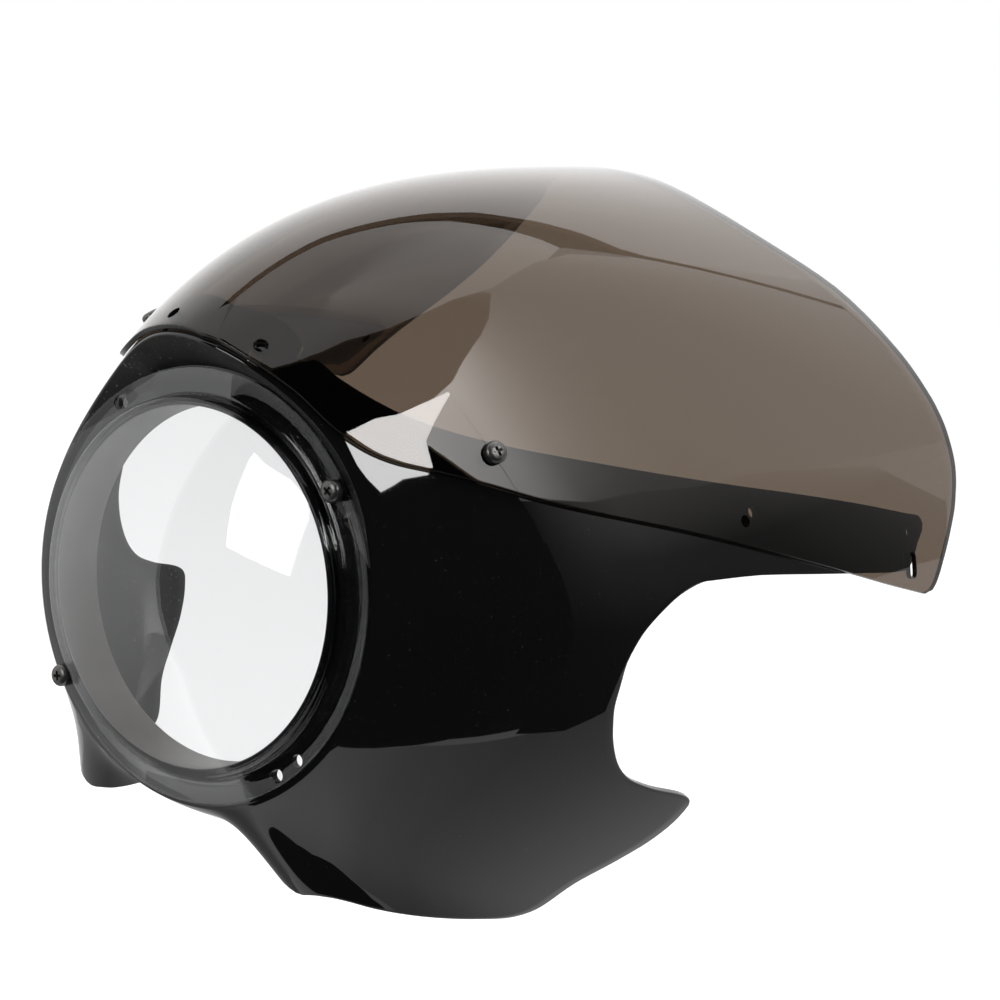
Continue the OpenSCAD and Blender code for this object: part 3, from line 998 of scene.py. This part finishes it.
# The dark studio with its white floor, panels and softboxes, as cards that only reflections see.
# Each is a name, a distance and its edges: azimuth from the front, lower and upper elevation, and
# the light at each
ROOM = (
    ("front_wall", 6, (
        (-39.5, -12.5, 62, 0.02, 0.02), (-38, -19, 62, 0.02, 0.02), (-34, -28, 62, 0.02, 0.02),
        (-30, -34, 62, 0.02, 0.02), (-26, -66, 62, 0.02, 0.02), (0, -68, 62, 0.02, 0.02),
        (20, -65, 62, 0.02, 0.02), (34, -61, 62, 0.02, 0.02), (50, -56, 63, 0.02, 0.02),
        (64, -52.8, 65, 0.02, 0.02), (75, -46, 67, 0.02, 0.02), (85, -38.5, 67, 0.02, 0.02),
        (97, -31, 67, 0.03, 0.02), (97.1, 49, 67, 0.02, 0.02), (120, 52, 67, 0.02, 0.02),
        (135, 56, 66, 0.02, 0.02), (146, 58, 63, 0.2, 0.2))),
    ("side_wall", 6, (
        (96.5, -33, 4, 0.02, 0.04), (105, -30, 4, 0.03, 0.06), (115, -14, 4, 0.05, 0.08),
        (125, -2, 4, 0.06, 0.08), (130, 3, 4, 0.07, 0.08))),
    ("side_wall_middle", 6, (
        (96.5, 4, 24, 0.04, 0.12), (106, 4, 24, 0.06, 0.24), (115, 4, 24, 0.08, 0.24),
        (125, 4, 24, 0.1, 0.2), (135, 8, 24, 0.12, 0.22), (145, 10, 24, 0.25, 0.35),
        (152, 10, 24, 0.4, 0.5))),
    ("side_wall_top", 6, (
        (96.5, 24, 36.5, 0.12, 0.05), (106, 24, 36.5, 0.24, 0.5), (115, 24, 36.5, 0.24, 0.8),
        (125, 24, 36, 0.2, 0.75), (135, 24, 34, 0.22, 0.65), (145, 24, 30, 0.35, 0.7),
        (152, 24, 26, 0.5, 0.8))),
    ("right_panel", 5.8, (
        (84.5, 41, 43.5, 6, 6), (91, 38, 47, 4.5, 6), (100, 37, 50.5, 3.3, 6), (110, 36, 54.5, 1.2, 4),
        (120, 36, 57, 0.9, 2.2), (130, 34, 59, 0.8, 1.5), (140, 32, 61, 0.9, 1.2),
        (150, 28, 62, 0.9, 1.1), (160, 24, 60, 0.8, 1.2), (172, 10, 56, 1, 1.4),
        (178.5, 6, 51, 1.3, 1.8))),
    ("softbox", 5, (
        (70, 34.5, 40, 15, 15), (72, 31.5, 41, 15, 15), (77, 35, 43.5, 15, 15),
        (82, 37, 44.6, 15, 15), (83.3, 38, 45, 15, 15), (85, 41.2, 45.6, 15, 15),
        (91, 45.2, 47.4, 15, 15), (97, 48.4, 48.8, 15, 15))),
    ("front_softbox", 5, (
        (-23.5, 24, 26.5, 6, 6), (-21, 12, 26, 6, 6), (-18, 2, 25.5, 6, 6), (3, 1, 24, 6, 6))),
    ("ceiling", 7, (
        (-178, 51, 90, 2.2, 2), (-160, 51, 90, 2.1, 2), (-140, 51, 90, 1.5, 1.5),
        (-115, 51, 90, 1.4, 1.4), (-90, 52, 90, 1.5, 1.4), (-60, 60, 90, 1.3, 1.3),
        (-40, 62, 90, 1.2, 1.2), (0, 62, 90, 1.2, 1.2), (45, 62, 90, 1.2, 1.2),
        (60, 64, 90, 1, 1.5), (80, 67, 90, 0.9, 1.8), (100, 67, 90, 1, 2), (120, 67, 90, 1.5, 2),
        (135, 66, 90, 1.7, 2), (150, 62, 90, 1.7, 2), (165, 57, 90, 1.9, 2), (182, 51, 90, 2.2, 2))),
    ("ceiling_gap", 6, (
        (-178, 45, 51, 0, 0), (-150, 45.5, 51, 0, 0), (-120, 46, 51, 0, 0), (-88, 47, 51, 0, 0))),
    ("ceiling_gap_end", 5.7, (
        (171.5, 27.6, 28.6, 0.4, 0.4), (173, 30.6, 31.8, 0.2, 0.2), (177, 38.6, 40.4, 0, 0),
        (180, 43.6, 46.8, 0, 0), (182.2, 45, 51, 0, 0))),
    ("rear_backdrop", 7, (
        (-182, 2, 45, 1.5, 1.9), (-150, 2, 45.5, 1.3, 1.8), (-120, 2, 46, 1.2, 2),
        (-100, 2, 47, 1, 1.8), (-88, 2, 50, 1, 1.4))),
    ("left_backdrop", 7, (
        (-88, -12, 51, 0.9, 1.4), (-70, -12, 58, 0.9, 1.4), (-50, -12, 61, 1.1, 1.3),
        (-39.5, -12, 62, 1.2, 1.2))),
    ("left_floor", 7, (
        (-170, -28, 2, 0.9, 1.3), (-120, -28, 2, 0.7, 1.2), (-88, -40, -12, 0.35, 0.9),
        (-60, -42, -12, 0.35, 1), (-46, -32, -12, 0.8, 1.3), (-43, -26, -12, 2.2, 1.2),
        (-40, -25, -12, 2.2, 1.2), (-36, -25, -12, 1.8, 1.2))),
    ("left_floor_far", 7, (
        (-170, -70, -28, 0.25, 0.5), (-120, -70, -28, 0.2, 0.4), (-88, -70, -40, 0.3, 0.35),
        (-60, -70, -42, 0.4, 0.35), (-34, -70, -30, 0.9, 0.6))),
    ("right_floor", 7, (
        (60, -80, -54, 1, 1), (80, -80, -43, 0.75, 0.65), (100, -75, -31.5, 0.65, 0.45),
        (115, -70, -14, 0.65, 0.5), (130, -60, -18, 0.7, 0.7), (152, -50, -28, 0.75, 0.9))),
)


def way(azimuth, elevation):
    """Direction at an azimuth from the front and an elevation, both in radians."""
    return Vector((sin(azimuth) * cos(elevation), -cos(azimuth) * cos(elevation), sin(elevation)))


def camera_turn(stage):
    """Matrix that points the camera at the cowl, leaning by its roll."""
    back = way(stage.azimuth, stage.elevation)
    right = Vector((cos(stage.azimuth), sin(stage.azimuth), 0))
    level = Matrix((right, back.cross(right), back)).transposed()
    return (level @ Matrix.Rotation(stage.roll, 3, "Z")).to_4x4()


def stage_sheet(name, verts, faces, own):
    """New sheet of the stage, which isn't part of the cowl."""
    mesh = bpy.data.meshes.new(name)
    mesh.from_pydata(verts, [], faces)
    mesh.materials.append(own)
    sheet = bpy.data.objects.new(name, mesh)
    bpy.context.scene.collection.objects.link(sheet)
    return sheet


class COWL_OT_stage(bpy.types.Operator):
    """Set the camera, the floor and the lamps"""

    bl_idname = "cowl.stage"
    bl_label = "Stage"

    def execute(self, context):
        stage = context.scene.cowl_stage
        context.scene.view_settings.view_transform = "Standard"
        self.camera(context, stage)
        self.world(context, stage)
        self.floor(stage)
        self.overhead(context, stage)
        glow = self.card_light()
        for name, far, edges in ROOM:
            self.card(name, edges, glow, far)
        return {"FINISHED"}

    def camera(self, context, stage):
        camera = bpy.data.cameras.new("camera")
        camera.lens, camera.sensor_width = stage.lens_mm, 36
        camera.clip_start, camera.clip_end = 0.05, 200
        stand = bpy.data.objects.new("camera", camera)
        stand.matrix_world = Matrix.Translation(stage.place) @ camera_turn(stage)
        context.scene.collection.objects.link(stand)
        context.scene.camera = stand

    def world(self, context, stage):
        """White where it is seen, and dimmer as the even light that falls on the cowl."""
        shader = Shader(bpy.data.worlds.new("room"), "ShaderNodeOutputWorld")
        level = stage.world_level + (1 - stage.world_level) * shader.seen()
        context.scene.world = shader.done(shader.node(
            "ShaderNodeBackground", None, Color=grey(1.0), Strength=level))

    def floor(self, stage):
        """A pale floor that is white where nothing shades it."""
        shader = new_finish("pale_floor")
        matt = shader.node("ShaderNodeBsdfDiffuse", None, Color=grey(FLOOR_WHITE))
        glow = shader.node(
            "ShaderNodeEmission", None, Color=grey(1.0), Strength=shader.seen() * FLOOR_GLOW)
        pale = shader.done(shader.node("ShaderNodeAddShader", None, matt, glow))
        corners = [Vector((x * FLOOR_HALF, y * FLOOR_HALF, stage.floor_z))
                   for x, y in ((-1, -1), (1, -1), (1, 1), (-1, 1))]
        stage_sheet("floor", corners, [(0, 1, 2, 3)], pale).visible_glossy = False

    def overhead(self, context, stage):
        """A wide soft lamp over the cowl, which its gloss doesn't show."""
        light = bpy.data.lights.new("overhead", "AREA")
        light.shape, light.size, light.size_y = "RECTANGLE", 2.2, 1.6
        light.energy = stage.top_lamp
        lamp = bpy.data.objects.new("overhead", light)
        lamp.location = (-0.2, 0.5, 1.7)
        lamp.rotation_euler = (ROOM_MIDDLE - lamp.location).to_track_quat("-Z", "Y").to_euler()
        lamp.visible_glossy = False
        context.scene.collection.objects.link(lamp)

    def card_light(self):
        """Light as strong as each card says at each of its points."""
        shader = new_finish("card_light")
        level = shader.node("ShaderNodeAttribute", {"attribute_name": "level"}, out="Fac")
        return shader.done(shader.node("ShaderNodeEmission", None, Color=level, Strength=1.0))

    def card(self, name, edges, glow, far):
        """A card that only reflections see, between its edges from side to side."""
        verts, levels, faces = [], [], []
        for azimuth, low, high, light_low, light_high in edges:
            for k in range(CARD_ROWS + 1):
                elevation = mix(low, high, k / CARD_ROWS)
                verts.append(way(radians(azimuth), radians(elevation)) * far + ROOM_MIDDLE)
                levels.append(mix(light_low, light_high, k / CARD_ROWS))
        step = CARD_ROWS + 1
        for i in range(len(edges) - 1):
            for a in range(step * i, step * i + CARD_ROWS):
                faces.append((a, a + 1, a + step + 1, a + step))
        sheet = stage_sheet(name, verts, faces, glow)
        sheet.data.attributes.new("level", "FLOAT", "POINT").data.foreach_set("value", levels)
        for ray in ("camera", "diffuse", "transmission", "volume_scatter", "shadow"):
            setattr(sheet, "visible_" + ray, False)


class COWL_PT_panel(bpy.types.Panel):
    """The cowl's sizes, colours and pieces"""

    bl_idname = "COWL_PT_panel"
    bl_label = "Headlight cowl"
    bl_space_type = "VIEW_3D"
    bl_region_type = "UI"
    bl_category = "Cowl"

    def draw(self, context):
        for group in ("cowl_sizes", "cowl_finish", "cowl_stage"):
            box = self.layout.box()
            values = getattr(context.scene, group)
            for key in values.bl_rna.properties.keys():
                if key not in ("rna_type", "name"):
                    box.prop(values, key)
        for operator in OPERATORS:
            self.layout.operator(operator.bl_idname)


GROUPS = (CowlSizes, CowlFinish, CowlStage)
OPERATORS = (COWL_OT_shell, COWL_OT_screen, COWL_OT_lens, COWL_OT_screws,
             COWL_OT_washers_and_nuts, COWL_OT_stage)


def register():
    for cls in (*GROUPS, *OPERATORS, COWL_PT_panel):
        bpy.utils.register_class(cls)
    bpy.types.Scene.cowl_sizes = bpy.props.PointerProperty(type=CowlSizes)
    bpy.types.Scene.cowl_finish = bpy.props.PointerProperty(type=CowlFinish)
    bpy.types.Scene.cowl_stage = bpy.props.PointerProperty(type=CowlStage)


def unregister():
    del bpy.types.Scene.cowl_sizes, bpy.types.Scene.cowl_finish, bpy.types.Scene.cowl_stage
    for cls in reversed((*GROUPS, *OPERATORS, COWL_PT_panel)):
        bpy.utils.unregister_class(cls)


def main():
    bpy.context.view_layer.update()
    register()
    bpy.ops.cowl.shell()
    bpy.ops.cowl.screen()
    bpy.ops.cowl.lens()
    bpy.ops.cowl.screws()
    bpy.ops.cowl.washers_and_nuts()
    bpy.ops.cowl.stage()


if __name__ == "__main__":
    main()
